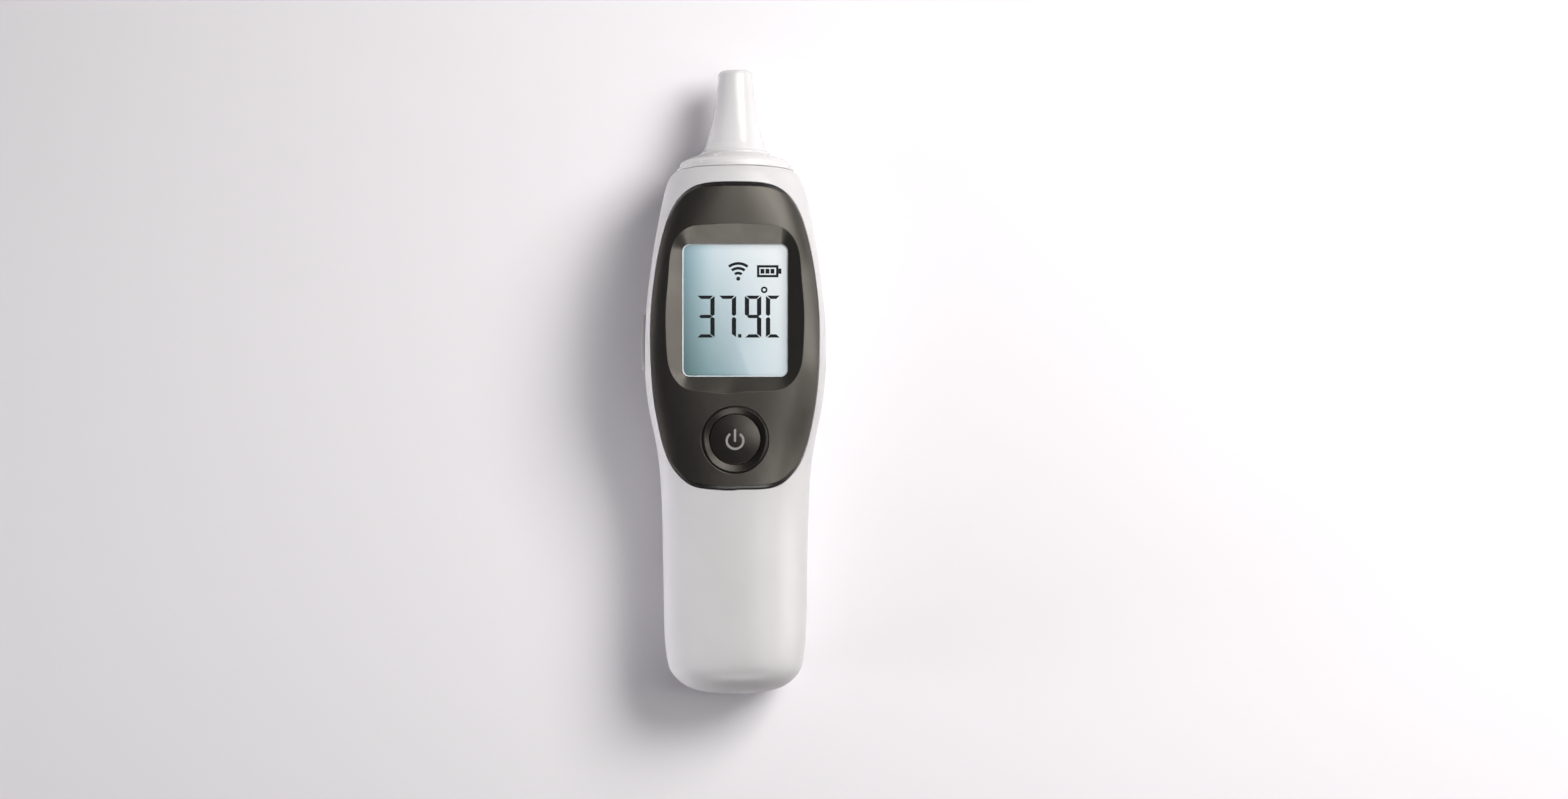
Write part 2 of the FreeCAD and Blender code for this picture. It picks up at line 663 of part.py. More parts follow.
# joggle on the inside of the parting line
lip = gap_form.common(Part.makeBox(80, 300, 2.4, V(-40, Y(DOOR_END + 1.5), SPLIT_Z - 1.2)))
lip_a, _, _ = make_form(WALL)
lip_b, _, _ = make_form(WALL + 0.8)
lip = lip_a.cut(lip_b).common(Part.makeBox(80, Y(119) - Y(DOOR_END + 1.5), 1.9, V(-40, Y(DOOR_END + 1.5), SPLIT_Z - 1.2)))
lower = lower.fuse(lip)
lower = lower.cut(TABLE).cut(END_BORE).cut(box(-26, -12, 75.9, 92.8, SPLIT_Z - 0.6, 22))
for x, s in CASE_SCREWS:
    zh = SCREW_Z[s]
    lower = lower.cut(cyl(2.45, 6.0, V(x, Y(s), zh + 1.2 - 6.0))).cut(cyl(1.3, 20, V(x, Y(s), 0)))
    lower = lower.cut(cyl(2.82, 3.0, V(x, Y(s), SPLIT_Z)))
rear = one(lower)
put("rear_housing", rear)

door = shell.common(Part.makeBox(80, Y(DOOR_END) + 120, SPLIT_Z - 0.25 + 10, V(-40, -120, -10)))
for sg in (-1, 1):
    x0, x1 = (13.0, 19.0) if sg > 0 else (-19.0, -13.0)
    door = door.fuse(box(x0, x1, 17.0, 52.0, 9.3, 10.3).common(seat))
tab_a, _, _ = make_form(WALL + 0.25)
tab_b, _, _ = make_form(WALL + 1.15)
door = door.fuse(box(-2.2, 2.2, 50.5, DOOR_END + 2.8, -1, 6).common(tab_a).cut(tab_b))
door = door.fuse(box(-2.2, 2.2, 50.5, DOOR_END - 0.4, -1, 6).common(seat).cut(tab_b))
for i in range(5):
    s = 38.0 + 2.6 * i
    groove = plate([(-5.5 + 0.45 * i, Y(s), 0.55), (5.5 - 0.45 * i, Y(s), 0.55),
                    (5.5 - 0.45 * i, Y(s) + 1.2, 0.55), (-5.5 + 0.45 * i, Y(s) + 1.2, 0.55)], -2, 0.45)
    door = door.cut(groove)
door = one(door.cut(TABLE))
put("battery_door", door)

# ---- display stack -------------------------------------------------------------
put("display_lens", plate(rrect(13.9, WIN_S0 - 1.3, WIN_S1 + 1.3, 2.2), LENS_TOP - LENS_T, LENS_TOP))
glass = plate(rrect(13.8, 74.9, 109.0, 0.4), LCD_BOT, LCD_BOT + 0.9)
glass = glass.fuse(plate(rrect(13.8, 76.8, 109.0, 0.4), LCD_BOT + 0.9, LCD_TOP))
put("lcd_glass", one(glass))
frame = plate(rrect(14.7, 73.9, 110.0, 1.0), PCB_TOP, LCD_TOP).cut(
    plate(rrect(13.9, 74.8, 109.1, 0.45), PCB_TOP - 1, LCD_TOP + 1))
put("lcd_frame", one(frame.common(tray_form)))
put("backlight_diffuser", plate(rrect(13.3, 77.3, 108.6, 0.8), PCB_TOP + 0.12, LCD_BOT - 0.02))
put("zebra_strip", plate(rrect(12.6, 75.0, 76.6, 0.3), PCB_TOP, LCD_BOT))

# ---- main board -----------------------------------------------------------------
board = plate([(-17.5, Y(52), 3), (17.5, Y(52), 3), (18.5, Y(70), 1), (18.5, Y(106), 1), (13.0, Y(117.5), 4),
               (-13.0, Y(117.5), 4), (-18.5, Y(106), 1), (-18.5, Y(70), 1)], PCB_TOP - PCB_T, PCB_TOP)
board = board.common(board_form)
for x, s in CASE_SCREWS:
    board = board.cut(cyl(3.2, 10, V(x, Y(s), 18)))
for x, s in PCB_SCREWS:
    board = board.cut(cyl(1.0, 10, V(x, Y(s), 18)))
put("main_board", one(board))
zb = PCB_TOP - PCB_T
put("controller_chip", plate(rrect(5.0, 95.0, 105.0, 0.3), zb - 1.3, zb))
mod = plate([(-8, Y(78), 0.3), (1.5, Y(78), 0.3), (1.5, Y(90.5), 0.3), (-8, Y(90.5), 0.3)], zb - 0.8, zb)
mod = mod.fuse(plate([(-7.4, Y(78.6), 0.5), (0.9, Y(78.6), 0.5), (0.9, Y(87.0), 0.5), (-7.4, Y(87.0), 0.5)],
                     zb - 2.2, zb - 0.8))
put("radio_module", one(mod))
bits = []
for i, (x, s, w, d, h) in enumerate([(-11, 97, 1.6, 0.8, 0.6), (-11, 99.5, 1.6, 0.8, 0.6), (-11, 102, 1.6, 0.8, 0.6),
                                     (9, 97, 1.6, 0.8, 0.6), (9, 99.5, 1.6, 0.8, 0.6), (9, 103, 3.2, 1.6, 1.4),
                                     (-6, 72, 3.0, 2.4, 1.2), (-1, 72, 1.6, 0.8, 0.6), (3, 72, 1.6, 0.8, 0.6),
                                     (7, 72.5, 3.2, 1.6, 1.5), (-4, 92.2, 1.2, 0.6, 0.5), (0, 92.2, 1.2, 0.6, 0.5),
                                     (4, 108.5, 2.0, 1.2, 0.9), (-4, 108.5, 2.0, 1.2, 0.9)]):
    bits.append(plate([(x - w / 2, Y(s) - d / 2, 0.1), (x + w / 2, Y(s) - d / 2, 0.1),
                       (x + w / 2, Y(s) + d / 2, 0.1), (x - w / 2, Y(s) + d / 2, 0.1)], zb - h, zb))
put("board_components", Part.Compound(bits))
buz = cyl(6.0, 4.4, V(9.0, Y(84.0), zb - 4.4)).cut(cyl(1.1, 1.5, V(9.0, Y(84.0), zb - 4.6)))
put("buzzer", buz)

scr = []
for x, s in CASE_SCREWS:
    zh = SCREW_Z[s]
    q = cyl(1.05, 19.6 - zh, V(x, Y(s), zh)).fuse(cyl(2.1, 1.15, V(x, Y(s), zh)))
    q = q.cut(Part.makeBox(2.8, 0.7, 0.9, V(x - 1.4, Y(s) - 0.35, zh - 0.2))).cut(
        Part.makeBox(0.7, 2.8, 0.9, V(x - 0.35, Y(s) - 1.4, zh - 0.2)))
    scr.append(q)
put("case_screws", Part.Compound(scr))
scr = []
for x, s in PCB_SCREWS:
    q = cyl(0.78, 4.4, V(x, Y(s), zb - 0.9)).fuse(cyl(1.7, 0.9, V(x, Y(s), zb - 0.9)))
    q = q.cut(Part.makeBox(2.2, 0.5, 0.5, V(x - 1.1, Y(s) - 0.25, zb - 1.0)))
    scr.append(q)
put("board_screws", Part.Compound(scr))

# ---- probe head ------------------------------------------------------------------
collar = turned([(7.05, -3.45, 0), (12.3, -3.45, 0.2), (12.3, -2.40, 0.2), (11.0, -2.40, 0), (11.0, -0.38, 0),
                 (14.0, -0.38, 0.2), (14.0, 0.05, 0.15), (COLLAR_R, 0.20, 0), (COLLAR_R, 1.25, 0.15),
                 (12.70, 1.90, 0.4), (11.35, 2.50, 1.0), (8.62, 3.60, 0.15), (8.62, 2.2, 0), (8.15, 2.2, 0),
                 (8.15, 1.3, 0), (7.15, 1.3, 0), (7.15, 2.2, 0), (7.05, 2.2, 0)])
put("probe_collar", head(collar))
cone = turned([(6.25, 2.32, 0.1), (8.5, 2.32, 0.2), (8.5, 3.95, 0.3), (7.62, 4.45, 0.9), (6.96, 6.2, 4.0), (5.70, 10.9, 30.0),
               (4.70, 17.0, 40.0), (4.12, 22.2, 6.0), (4.02, 23.95, 1.1), (2.95, 23.95, 0.25), (2.95, 22.4, 0),
               (3.5, 17.0, 0), (4.55, 10.9, 0), (5.7, 6.3, 0)])
put("probe_cone", head(cone))
put("probe_window", head(cyl(2.93, 0.4, V(0, 0, 23.05))))
put("waveguide_tube", head(cyl(2.5, 16.2, V(0, 0, 6.6)).cut(cyl(2.1, 18, V(0, 0, 6)))))
holder = turned([(4.35, -0.5, 0), (6.9, -0.5, 0.2), (6.9, 2.2, 0.2), (6.0, 2.2, 0), (5.45, 6.3, 0.3), (2.6, 6.3, 0.2),
                 (2.6, 4.5, 0), (4.35, 4.5, 0)])
put("sensor_holder", head(holder))
can = turned([(0, -0.05, 0), (4.28, -0.05, 0), (4.28, 0.45, 0.1), (4.0, 0.45, 0), (4.0, 4.3, 0.3), (1.7, 4.3, 0),
              (1.7, 4.1, 0), (0, 4.1, 0)])
for a in (45, 135, 225, 315):
    x, y = 1.8 * math.cos(math.radians(a)), 1.8 * math.sin(math.radians(a))
    can = can.fuse(cyl(0.22, 2.4, V(x, y, -2.3)))
put("thermopile_sensor", head(can))
sb = cyl(6.6, 1.0, V(0, 0, -1.75))
for a in (45, 135, 225, 315):
    x, y = 1.8 * math.cos(math.radians(a)), 1.8 * math.sin(math.radians(a))
    sb = sb.cut(cyl(0.3, 4, V(x, y, -3)))
put("sensor_board", head(sb))
put("probe_seal_ring", head(Part.makeTorus(7.65, 0.44, V(0, 0, 1.75))))
# flat cable from the sensor board to the main board
c0 = HEAD_PL.multVec(V(0, -4.0, -1.76))
pts = [V(0, c0.y, c0.z), V(0, c0.y - 1.6, c0.z + 0.35), V(0, c0.y - 3.6, c0.z - 0.6), V(0, Y(116.2), 18.4), V(0, Y(115.3), 20.0), V(0, Y(113.0), zb - 0.16)]
pts = [V(0, c0.y, c0.z), V(0, c0.y - 1.8, c0.z + 0.2), V(0, Y(117.4), 19.4), V(0, Y(115.9), zb - 0.6), V(0, Y(112.4), zb - 0.15),
       V(0, Y(110.4), zb - 0.15)]
cc = Part.BSplineCurve()
cc.interpolate(Points=pts)
mm = 24
va, vb = [], []
for i in range(mm + 1):
    u = cc.FirstParameter + (cc.LastParameter - cc.FirstParameter) * i / mm
    p = cc.value(u)
    t = V(*cc.tangent(u)[0])
    nn = V(0, -t.z, t.y)
    nn.normalize()
    va.append(p + nn * 0.11)
    vb.append(p - nn * 0.11)
ca, cb = Part.BSplineCurve(), Part.BSplineCurve()
ca.interpolate(Points=va)
cb.interpolate(Points=vb)
w = Part.Wire([ca.toShape(), Part.makeLine(va[-1], vb[-1]), cb.toShape(), Part.makeLine(vb[0], va[0])])
f = Part.Face(w)
f.translate(V(-5.2, 0, 0))
put("sensor_cable", f.extrude(V(3.4, 0, 0)))

# ---- battery bay -------------------------------------------------------------------
tray = box(-12.4, 12.4, 4.6, 55.2, 3.6, 14.6)
tray = tray.cut(box(-11.1, 11.1, 5.6, 54.2, -2, CELL_Z))
for sg in (-1, 1):
    tray = tray.cut(cyl(5.45, 48.6, V(sg * CELL_X, Y(5.6), CELL_Z), V(0, 1, 0)))
tray = tray.cut(box(-0.55, 0.55, 9.0, 50.0, 0, 10.2))
for sg in (-1, 1):
    x0, x1 = (12.0, 13.9) if sg > 0 else (-13.9, -12.0)
    tray = tray.fuse(box(x0, x1, 16.5, 51.5, 8.0, 9.0))
for s in (12.0, 46.0):
    tray = tray.fuse(box(-11.5, 11.5, s, s + 1.6, 14.0, 26.0))
tray = tray.common(tray_form)
for s in (12.0, 46.0):
    tray = tray.fuse(box(-6.0, 6.0, s, s + 1.6, 14.0, 26.0).common(inner))
put("battery_tray", one(tray))


def cell(x, up):
    body = cyl(CELL_R, CELL_L - 1.2, V(0, 0, 0))
    body = body.makeFillet(0.5, [e for e in body.Edges if e.Curve.TypeId == "Part::GeomCircle"])
    nub = cyl(1.9, 1.4, V(0, 0, CELL_L - 1.4))
    c = body.fuse(nub)
    if up:
        c.Placement = FreeCAD.Placement(V(x, Y(CELL_S0), CELL_Z), FreeCAD.Rotation(V(1, 0, 0), -90))
    else:
        c.Placement = FreeCAD.Placement(V(x, Y(CELL_S0 + CELL_L), CELL_Z), FreeCAD.Rotation(V(1, 0, 0), 90))
    return c


put("battery_left", cell(-CELL_X, True))
put("battery_right", cell(CELL_X, False))


def spring(x, s, direction):
    hx = Part.makeHelix(0.52, 1.30, 2.7)
    start = V(2.7, 0, 0)
    prof = Part.Wire([Part.makeCircle(0.16, start, V(0, 1, 0))])
    pipe = Part.Wire(hx.Edges).makePipeShell([prof], True, True)
    pipe.Placement = FreeCAD.Placement(V(x, Y(s), CELL_Z), FreeCAD.Rotation(V(1, 0, 0), -90 if direction > 0 else 90))
    return pipe


put("contact_springs", Part.Compound([spring(-CELL_X, 6.12, 1), spring(CELL_X, 53.70, -1)]))
e0, e1 = CELL_S0, CELL_S0 + CELL_L
pl = []


def pad(x, s):
    return cyl(4.6, 0.3, V(x, Y(s), CELL_Z), V(0, 1, 0)).common(box(x - 4.6, x + 4.6, s - 1, s + 1, 4.7, 11.6))


low = pad(-CELL_X, 5.6).fuse(pad(CELL_X, 5.6)).fuse(box(-4, 4, 5.6, 5.9, 5.0, 7.2))
pl.append(low.fuse(cyl(1.7, e0 - 5.9, V(CELL_X, Y(5.8), CELL_Z), V(0, 1, 0))))
for sg in (-1, 1):
    x0 = sg * CELL_X
    q = pad(x0, 53.9)
    if sg < 0:
        q = q.fuse(cyl(1.7, 53.95 - e1, V(x0, Y(e1), CELL_Z), V(0, 1, 0)))
    pl.append(q)
put("contact_plates", Part.Compound(pl))
print("total nodes", len(NODES))
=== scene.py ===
import math
import bmesh
import bpy
import numpy as np
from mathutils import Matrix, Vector


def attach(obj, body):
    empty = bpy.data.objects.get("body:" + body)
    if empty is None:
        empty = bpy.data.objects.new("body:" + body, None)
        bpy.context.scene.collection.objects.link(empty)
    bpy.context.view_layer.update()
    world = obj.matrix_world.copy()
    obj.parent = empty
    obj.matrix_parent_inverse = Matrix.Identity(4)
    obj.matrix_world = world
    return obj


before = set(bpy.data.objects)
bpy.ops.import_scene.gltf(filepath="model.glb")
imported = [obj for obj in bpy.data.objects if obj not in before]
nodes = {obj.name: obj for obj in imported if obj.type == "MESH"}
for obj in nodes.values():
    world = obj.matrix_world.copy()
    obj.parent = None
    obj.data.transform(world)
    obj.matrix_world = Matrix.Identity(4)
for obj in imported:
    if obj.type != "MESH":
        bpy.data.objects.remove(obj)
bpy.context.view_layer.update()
scene = bpy.context.scene

# ---------------------------------------------------------------- materials
def new_mat(name):
    m = bpy.data.materials.new(name)
    m.use_nodes = True
    nt = m.node_tree
    nt.nodes.clear()
    out = nt.nodes.new("ShaderNodeOutputMaterial")
    bsdf = nt.nodes.new("ShaderNodeBsdfPrincipled")
    nt.links.new(bsdf.outputs[0], out.inputs[0])
    return m, nt, bsdf, out


def coord(nt):
    n = nt.nodes.new("ShaderNodeTexCoord")
    return n.outputs["Object"]


def noise(nt, vec, scale, detail=3.0, rough=0.5):
    n = nt.nodes.new("ShaderNodeTexNoise")
    n.inputs["Scale"].default_value = scale
    n.inputs["Detail"].default_value = detail
    n.inputs["Roughness"].default_value = rough
    nt.links.new(vec, n.inputs["Vector"])
    return n.outputs["Fac"]


def remap(nt, fac, lo, hi, a=0.0, b=1.0):
    n = nt.nodes.new("ShaderNodeMapRange")
    n.inputs["From Min"].default_value = a
    n.inputs["From Max"].default_value = b
    n.inputs["To Min"].default_value = lo
    n.inputs["To Max"].default_value = hi
    nt.links.new(fac, n.inputs["Value"])
    return n.outputs["Result"]


def mix_col(nt, fac, c1, c2):
    n = nt.nodes.new("ShaderNodeMix")
    n.data_type = "RGBA"
    nt.links.new(fac, n.inputs["Factor"])
    for sock, c in ((n.inputs["A"], c1), (n.inputs["B"], c2)):
        pass
    ins = [s for s in n.inputs if s.type == "RGBA"]
    for s, c in zip(ins, (c1, c2)):
        if isinstance(c, (tuple, list)):
            s.default_value = (c[0], c[1], c[2], 1.0)
        else:
            nt.links.new(c, s)
    return [s for s in n.outputs if s.type == "RGBA"][0]


def bump(nt, bsdf, height, strength, distance, edge=0.0):
    n = nt.nodes.new("ShaderNodeBump")
    n.inputs["Strength"].default_value = strength
    n.inputs["Distance"].default_value = distance
    nt.links.new(height, n.inputs["Height"])
    if edge:
        bv = nt.nodes.new("ShaderNodeBevel")
        bv.samples = 6
        bv.inputs["Radius"].default_value = edge
        nt.links.new(bv.outputs[0], n.inputs["Normal"])
    nt.links.new(n.outputs[0], bsdf.inputs["Normal"])


def plastic(name, c1, c2, rough=(0.3, 0.36), grain=9000.0, grain_h=0.000004, spec=0.5, coat=0.0, coat_rough=0.1,
            metallic=0.0, blotch=60.0, sss=0.0, edge=0.00012):
    m, nt, b, out = new_mat(name)
    v = coord(nt)
    big = noise(nt, v, blotch, 2.0)
    fine = noise(nt, v, grain, 2.0)
    nt.links.new(mix_col(nt, remap(nt, big, 0, 1, 0.3, 0.7), c1, c2), b.inputs["Base Color"])
    mid = noise(nt, v, blotch * 9, 3.0)
    nt.links.new(remap(nt, mid, rough[0], rough[1], 0.3, 0.7), b.inputs["Roughness"])
    b.inputs["Metallic"].default_value = metallic
    b.inputs["Specular IOR Level"].default_value = spec
    b.inputs["Coat Weight"].default_value = coat
    b.inputs["Coat Roughness"].default_value = coat_rough
    if sss:
        b.inputs["Subsurface Weight"].default_value = sss
        b.inputs["Subsurface Radius"].default_value = (0.004, 0.0035, 0.003)
        b.inputs["Subsurface Scale"].default_value = 1.0
    bump(nt, b, fine, 0.35, grain_h, edge)
    return m


def srgb(h):
    h = h.lstrip("#")
    v = [int(h[i:i + 2], 16) / 255.0 for i in (0, 2, 4)]
    return tuple(x / 12.92 if x <= 0.04045 else ((x + 0.055) / 1.055) ** 2.4 for x in v)


M = {}
M["shell"] = plastic("shell_white", (0.575, 0.560, 0.565), (0.605, 0.590, 0.595), (0.30, 0.36), 7000, 0.000006, 0.45, sss=0.05)
M["door"] = plastic("door_white", (0.570, 0.555, 0.560), (0.600, 0.585, 0.590), (0.30, 0.36), 7000, 0.000006, 0.45, sss=0.05)
M["probe"] = plastic("probe_white", (0.635, 0.62, 0.625), (0.665, 0.65, 0.655), (0.18, 0.23), 9000, 0.000003, 0.5, coat=0.3, sss=0.08)
M["collar"] = plastic("collar_white", (0.64, 0.625, 0.63), (0.67, 0.655, 0.66), (0.22, 0.28), 8000, 0.000004, 0.5, sss=0.05)
M["panel"] = plastic("panel_bronze", (0.090, 0.083, 0.073), (0.098, 0.090, 0.080), (0.38, 0.43), 14000, 0.000003, 0.5,
                     coat=0.10, coat_rough=0.2, metallic=0.9, edge=0.0003)
M["ring"] = plastic("ring_bronze", (0.046, 0.042, 0.037), (0.053, 0.048, 0.042), (0.28, 0.33), 14000, 0.000003, 0.5,
                    coat=0.10, coat_rough=0.2, metallic=0.9, edge=0.0002)
M["cap"] = plastic("cap_bronze", (0.058, 0.053, 0.047), (0.066, 0.060, 0.053), (0.28, 0.33), 14000, 0.000003, 0.5,
                   coat=0.10, coat_rough=0.2, metallic=0.9, edge=0.0002)
M["bezel"] = plastic("bezel_black", (0.012, 0.0115, 0.010), (0.016, 0.015, 0.013), (0.22, 0.28), 12000, 0.000003, 0.45)
M["gasket"] = plastic("gasket_black", (0.010, 0.010, 0.010), (0.018, 0.018, 0.018), (0.55, 0.7), 5000, 0.00001, 0.3)
M["icon"] = plastic("icon_grey", (0.28, 0.272, 0.26), (0.31, 0.302, 0.29), (0.45, 0.55), 9000, 0.000003, 0.3)
M["frame"] = plastic("frame_grey", (0.62, 0.63, 0.64), (0.68, 0.69, 0.70), (0.4, 0.5))
M["diffuser"] = plastic("diffuser_white", (0.82, 0.84, 0.86), (0.88, 0.90, 0.92), (0.5, 0.6))
M["zebra"] = plastic("zebra_pink", (0.50, 0.22, 0.22), (0.58, 0.28, 0.27), (0.5, 0.6))
M["board"] = plastic("board_green", (0.010, 0.10, 0.035), (0.015, 0.14, 0.05), (0.3, 0.4))
M["chip"] = plastic("chip_black", (0.012, 0.012, 0.014), (0.022, 0.022, 0.025), (0.4, 0.5))
M["shield"] = plastic("shield_metal", (0.55, 0.55, 0.54), (0.65, 0.64, 0.62), (0.25, 0.4), metallic=1.0)
M["parts"] = plastic("parts_mixed", (0.35, 0.24, 0.13), (0.5, 0.45, 0.36), (0.3, 0.5), blotch=400)
M["switch"] = plastic("switch_black", (0.02, 0.02, 0.02), (0.035, 0.035, 0.035), (0.4, 0.5))
M["plunger"] = plastic("plunger_white", (0.66, 0.62, 0.52), (0.72, 0.68, 0.58), (0.35, 0.45))
M["screw"] = plastic("screw_steel", (0.42, 0.42, 0.42), (0.52, 0.51, 0.50), (0.25, 0.4), metallic=1.0, blotch=500)
M["tube"] = plastic("tube_gold", (0.78, 0.55, 0.20), (0.84, 0.62, 0.26), (0.12, 0.2), metallic=1.0)
M["can"] = plastic("can_steel", (0.55, 0.55, 0.56), (0.65, 0.65, 0.66), (0.2, 0.3), metallic=1.0)
M["holder"] = plastic("holder_grey", (0.05, 0.05, 0.055), (0.07, 0.07, 0.075), (0.4, 0.5))
M["seal"] = plastic("seal_black", (0.012, 0.012, 0.012), (0.02, 0.02, 0.02), (0.5, 0.65))
M["cable"] = plastic("cable_amber", (0.42, 0.17, 0.02), (0.5, 0.22, 0.04), (0.25, 0.35))
M["tray"] = plastic("tray_white", (0.70, 0.70, 0.71), (0.75, 0.75, 0.76), (0.4, 0.5))
M["spring"] = plastic("spring_nickel", (0.6, 0.58, 0.54), (0.7, 0.68, 0.64), (0.2, 0.3), metallic=1.0)
M["window"] = plastic("window_ir", (0.10, 0.09, 0.095), (0.14, 0.125, 0.13), (0.12, 0.2), coat=0.4)


def cell_mat():
    m, nt, b, out = new_mat("cell_jacket")
    v = coord(nt)
    sep = nt.nodes.new("ShaderNodeSeparateXYZ")
    nt.links.new(v, sep.inputs[0])
    cr = nt.nodes.new("ShaderNodeValToRGB")
    cr.color_ramp.interpolation = "CONSTANT"
    cr.color_ramp.elements[0].color = (0.03, 0.05, 0.09, 1)
    cr.color_ramp.elements[1].position = 0.62
    cr.color_ramp.elements[1].color = (0.35, 0.36, 0.38, 1)
    nt.links.new(remap(nt, sep.outputs["Y"], 0, 1, -0.0674, -0.0229), cr.inputs["Fac"])
    sp = noise(nt, v, 900, 3.0)
    nt.links.new(mix_col(nt, remap(nt, sp, 0.0, 0.12), cr.outputs["Color"], (0.5, 0.5, 0.5)), b.inputs["Base Color"])
    nt.links.new(remap(nt, sp, 0.22, 0.34), b.inputs["Roughness"])
    b.inputs["Coat Weight"].default_value = 0.3
    return m


M["cell"] = cell_mat()


def lens_mat():
    m = bpy.data.materials.new("lens_clear")
    m.use_nodes = True
    nt = m.node_tree
    nt.nodes.clear()
    out = nt.nodes.new("ShaderNodeOutputMaterial")
    mixs = nt.nodes.new("ShaderNodeMixShader")
    tr = nt.nodes.new("ShaderNodeBsdfTransparent")
    gl = nt.nodes.new("ShaderNodeBsdfGlossy")
    lw = nt.nodes.new("ShaderNodeLayerWeight")
    lw.inputs["Blend"].default_value = 0.5
    pw = nt.nodes.new("ShaderNodeMath")
    pw.operation = "POWER"
    pw.inputs[1].default_value = 5.0
    nt.links.new(lw.outputs["Facing"], pw.inputs[0])
    fr = nt.nodes.new("ShaderNodeMath")
    fr.operation = "MULTIPLY_ADD"
    fr.inputs[1].default_value = 0.96
    fr.inputs[2].default_value = 0.035
    nt.links.new(pw.outputs[0], fr.inputs[0])
    v = coord(nt)
    n = noise(nt, v, 140, 2.0)
    nt.links.new(remap(nt, n, 0.03, 0.06), gl.inputs["Roughness"])
    nt.links.new(mix_col(nt, n, (0.965, 0.975, 0.98), (0.98, 0.985, 0.985)), tr.inputs["Color"])
    nt.links.new(fr.outputs[0], mixs.inputs[0])
    nt.links.new(tr.outputs[0], mixs.inputs[1])
    nt.links.new(gl.outputs[0], mixs.inputs[2])
    nt.links.new(mixs.outputs[0], out.inputs[0])
    return m


M["lens"] = lens_mat()


def lcd_mat():
    """Backlit liquid-crystal glass whose glow carries painted light: darker teal at the lower left, paler and brighter
    at the right.
    """
    m, nt, b, out = new_mat("lcd_glass")
    v = coord(nt)
    sep = nt.nodes.new("ShaderNodeSeparateXYZ")
    nt.links.new(v, sep.inputs[0])
    gx = remap(nt, sep.outputs["X"], 0, 1, -0.0126, 0.0126)
    gy = remap(nt, sep.outputs["Y"], 0, 1, 0.0011, 0.0328)
    # painted light: the ramps run from darker teal at the left to pale at the right, as if light falls from the right
    ramps = []
    for stops in (((0.0, "#4e6668"), (0.08, "#5f7878"), (0.24, "#7c989c"), (0.45, "#94aab0"), (0.66, "#b8c8cf"), (0.82, "#ccd6da"), (1.0, "#d2dadd")),
                  ((0.0, "#7f9aa4"), (0.08, "#94acb5"), (0.20, "#bccfd6"), (0.30, "#d2dde2"), (0.5, "#dbe2e6"), (0.8, "#edeeef"), (1.0, "#f0f0f0"))):
        cr = nt.nodes.new("ShaderNodeValToRGB")
        cr.color_ramp.interpolation = "B_SPLINE"
        el = cr.color_ramp.elements
        el[0].position = 0.0
        el[0].color = (*srgb(stops[0][1]), 1)
        el[1].position = 1.0
        el[1].color = (*srgb(stops[-1][1]), 1)
        for pos, c in stops[1:-1]:
            e = el.new(pos)
            e.color = (*srgb(c), 1)
        nt.links.new(gx, cr.inputs["Fac"])
        ramps.append(cr.outputs["Color"])
    n = noise(nt, v, 90, 2.0)
    up = mix_col(nt, gy, ramps[0], ramps[1])
    # painted reflection: a soft slanting sheen across the lower half, mixed towards pale on the right of its edge
    ax = nt.nodes.new("ShaderNodeMath")
    ax.operation = "MULTIPLY"
    ax.inputs[1].default_value = 0.943
    nt.links.new(sep.outputs["X"], ax.inputs[0])
    ay = nt.nodes.new("ShaderNodeMath")
    ay.operation = "MULTIPLY_ADD"
    ay.inputs[1].default_value = 0.335
    nt.links.new(sep.outputs["Y"], ay.inputs[0])
    nt.links.new(ax.outputs[0], ay.inputs[2])
    edge_f = remap(nt, ay.outputs[0], 0.0, 1.0, 0.00315, 0.00425)
    fade = remap(nt, sep.outputs["Y"], 0.28, 0.0, 0.0075, 0.0125)
    painted_sheen_mask = nt.nodes.new("ShaderNodeMath")
    painted_sheen_mask.operation = "MULTIPLY"
    nt.links.new(edge_f, painted_sheen_mask.inputs[0])
    nt.links.new(fade, painted_sheen_mask.inputs[1])
    up = mix_col(nt, painted_sheen_mask.outputs[0], up, (0.72, 0.78, 0.81))
    col = mix_col(nt, remap(nt, n, 0.0, 0.06), up, srgb("#86aab4"))
    half = remap(nt, n, 0.66, 0.70)
    nt.links.new(mix_col(nt, half, col, (0.0, 0.0, 0.0)), b.inputs["Base Color"])
    nt.links.new(col, b.inputs["Emission Color"])
    # the glow is partly backlight and partly painted light, making up for the light the recess keeps off the glass
    b.inputs["Emission Strength"].default_value = 0.86
    nt.links.new(remap(nt, n, 0.25, 0.35), b.inputs["Roughness"])
    b.inputs["Specular IOR Level"].default_value = 0.2
    return m


M["lcd"] = lcd_mat()
M["ink"] = plastic("segment_ink", (0.004, 0.005, 0.006), (0.008, 0.009, 0.011), (0.5, 0.6), spec=0.2, edge=0.0)

USE = {
    "front_housing": "shell", "rear_housing": "shell", "battery_door": "door", "front_panel": "panel", "panel_bezel": "bezel",
    "panel_gasket": "gasket", "button_ring": "ring", "power_button": "cap", "power_icon": "icon",
    "power_switch_plunger": "plunger", "power_switch_body": "switch", "scan_button": "shell", "scan_switch_plunger": "plunger",
    "scan_switch_body": "switch", "display_lens": "lens", "lcd_glass": "lcd", "lcd_frame": "frame",
    "backlight_diffuser": "diffuser", "zebra_strip": "zebra", "main_board": "board", "controller_chip": "chip",
    "radio_module": "shield", "board_components": "parts", "buzzer": "chip", "case_screws": "screw", "board_screws": "screw",
    "probe_collar": "collar", "probe_cone": "probe", "probe_window": "window", "waveguide_tube": "tube",
    "sensor_holder": "holder", "thermopile_sensor": "can", "sensor_board": "board", "probe_seal_ring": "seal",
    "sensor_cable": "cable", "battery_tray": "tray", "battery_left": "cell", "battery_right": "cell",
    "contact_springs": "spring", "contact_plates": "spring",
}
